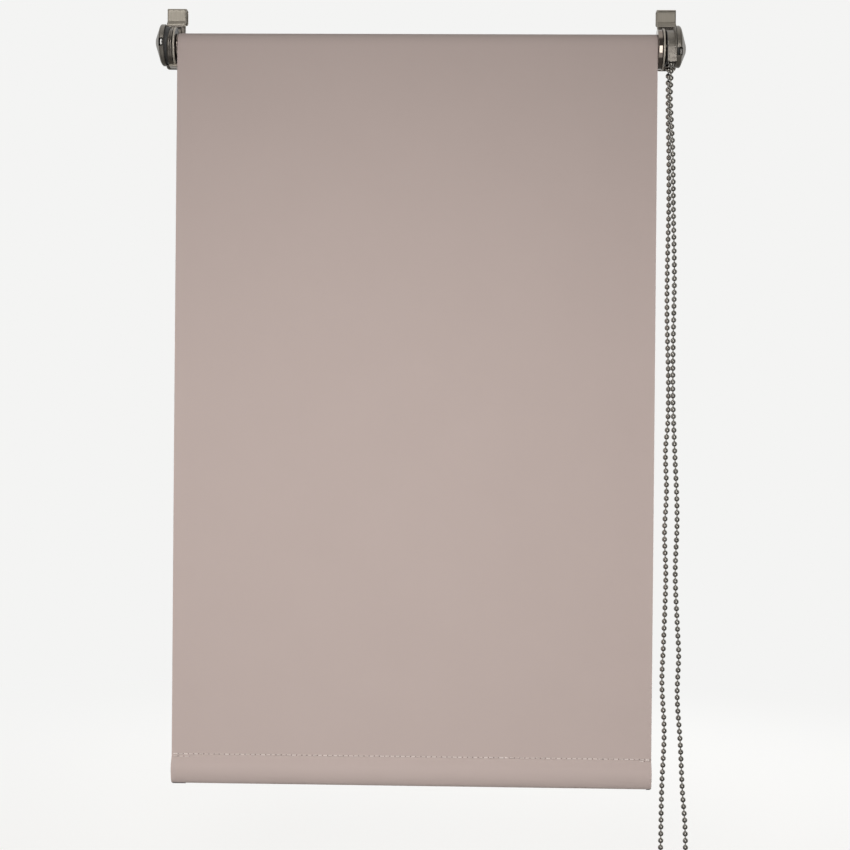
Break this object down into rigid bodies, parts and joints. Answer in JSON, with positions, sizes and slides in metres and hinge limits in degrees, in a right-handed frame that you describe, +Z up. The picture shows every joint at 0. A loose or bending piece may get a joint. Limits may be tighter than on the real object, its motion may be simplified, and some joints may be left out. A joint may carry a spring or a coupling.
{
  "type": "roller blind",
  "caption": "Clip-on blackout roller blind with a ball-chain drive, hook-over strips with end brackets, a wrap-spring clutch, a sprung idle pin and a sewn hem with a bar.",
  "frame": {"origin": "midway between the two hooks, on the line where the undersides of the hooks bear and in the plane of the front legs' rear faces", "axes": "+X along the roll towards the chain drive, +Y away from the viewer towards what the blind hangs on, +Z up"},
  "size_m": [0.4738, 0.0528, 0.793],
  "materials": {
    "strip_metal": "satin taupe nickel",
    "bracket_shell": "metallic grey-brown, half gloss",
    "cap_shell": "metallic grey-brown, satin",
    "dark_chrome": "polished, dark",
    "cloth": "matt coated polyester",
    "bare_aluminium": "as extruded",
    "white_plastic": "moulded",
    "dark_plastic": "moulded",
    "spring_steel": "bright zinc",
    "nickel": "nickel plated"
  },
  "bodies": {
    "headrail": {"hanger_left": "strip_metal", "hanger_right": "strip_metal", "bracket_left": "bracket_shell", "bracket_right": "bracket_shell", "bracket_screw_left_upper": "spring_steel", "bracket_screw_left_lower": "spring_steel", "bracket_screw_right_upper": "spring_steel", "bracket_screw_right_lower": "spring_steel", "end_cap_left": "cap_shell", "end_cap_right": "cap_shell", "chain_guard": "cap_shell", "clutch_post": "dark_plastic", "post_screw": "spring_steel", "post_clip": "spring_steel", "fabric_sheet": "cloth", "chain_wrap": "nickel", "chain_front": "nickel", "chain_rear": "nickel", "chain_connector": "white_plastic"},
    "roller": {"roller_tube": "bare_aluminium", "fabric_roll": "cloth", "drive_plug": "dark_plastic", "drive_collar": "dark_chrome", "chain_wheel": "dark_plastic", "clutch_spring": "spring_steel", "idle_plug": "white_plastic", "idle_spring": "spring_steel"},
    "pin": {"idle_pin": "spring_steel"},
    "rail": {"hem_pocket": "cloth", "bottom_bar": "bare_aluminium", "bar_plug_left": "dark_plastic", "bar_plug_right": "dark_plastic"}
  },
  "joints": [
    {"name": "roller_turn", "type": "hinge", "parent": "headrail", "child": "roller", "pos_m": [0, -0.0245, -0.0394], "axis": [-1, 0, 0], "range_deg": [0, 2460], "deforming": ["chain_wrap"]},
    {"name": "rail_lift", "type": "slide", "parent": "headrail", "child": "rail", "axis": [0, 0, 1], "range_m": [0, 0.6012], "deforming": ["fabric_sheet"]},
    {"name": "idle_pin_slide", "type": "slide", "parent": "roller", "child": "pin", "axis": [1, 0, 0], "range_m": [0, 0.0053], "stiffness_N_per_m": 300, "springref_m": -0.004, "deforming": ["idle_spring"]}
  ],
  "couplings": [
    {"joint": "rail_lift", "follows": "roller_turn", "m_per_rad": 0.014}
  ]
}
